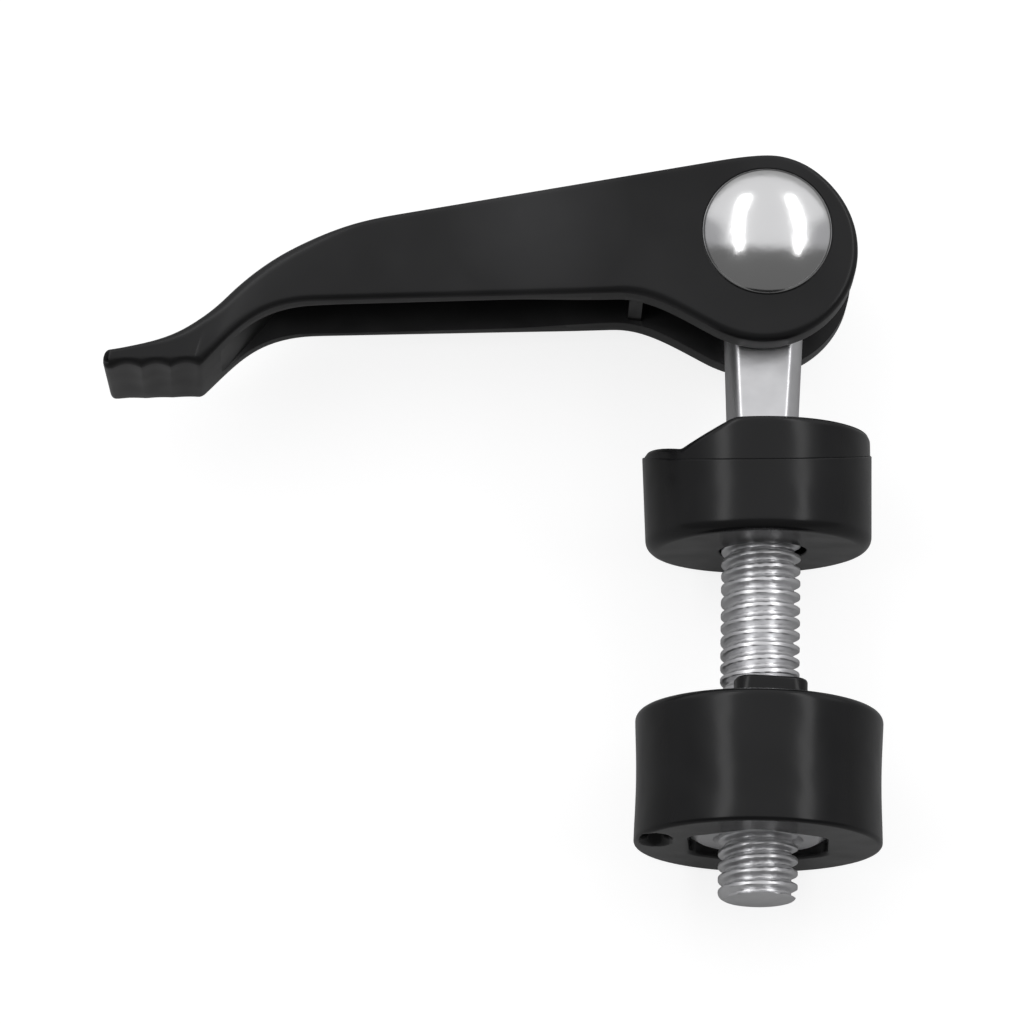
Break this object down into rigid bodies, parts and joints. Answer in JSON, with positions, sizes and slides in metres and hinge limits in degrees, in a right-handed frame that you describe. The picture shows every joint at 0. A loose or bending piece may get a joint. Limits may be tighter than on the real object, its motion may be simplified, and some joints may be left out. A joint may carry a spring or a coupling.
{
  "type": "mower handle knob",
  "caption": "Quick clamp for a folding handle: cam lever on an eye bolt, loose cam seat, and a round threaded knob with a hex nut set in its end.",
  "frame": {"origin": "on the bolt's axis, in the plane of the cam seat's clamp face", "axes": "+Y along the bolt towards the lever's pivot, +Z along the pivot rivet towards its domed head, -X towards the thumb tip of the closed lever; the clamp lies on its side as it does when put down"},
  "size_m": [0.0584, 0.0557, 0.0184],
  "materials": {
    "black_moulding": "satin moulding, nearly black",
    "zinc_steel": "bright zinc plating",
    "polished_steel": "polished head"
  },
  "bodies": {
    "bolt": {"eye_bolt": "zinc_steel"},
    "lever": {"cam_lever": "black_moulding", "pivot_rivet": "polished_steel"},
    "seat": {"cam_seat": "black_moulding"},
    "knob": {"clamp_knob": "black_moulding", "knob_nut": "zinc_steel"}
  },
  "joints": [
    {"name": "lever_pivot", "type": "hinge", "parent": "bolt", "child": "lever", "pos_m": [0, 0.0231, 0], "axis": [0, 0, 1], "range_deg": [-90, 0]},
    {"name": "seat_slide", "type": "slide", "parent": "bolt", "child": "seat", "axis": [0, 1, 0], "range_m": [-0.004, 0.0057]},
    {"name": "knob_travel", "type": "slide", "parent": "bolt", "child": "knob", "axis": [0, 1, 0], "range_m": [-0.0038, 0.006]}
  ]
}
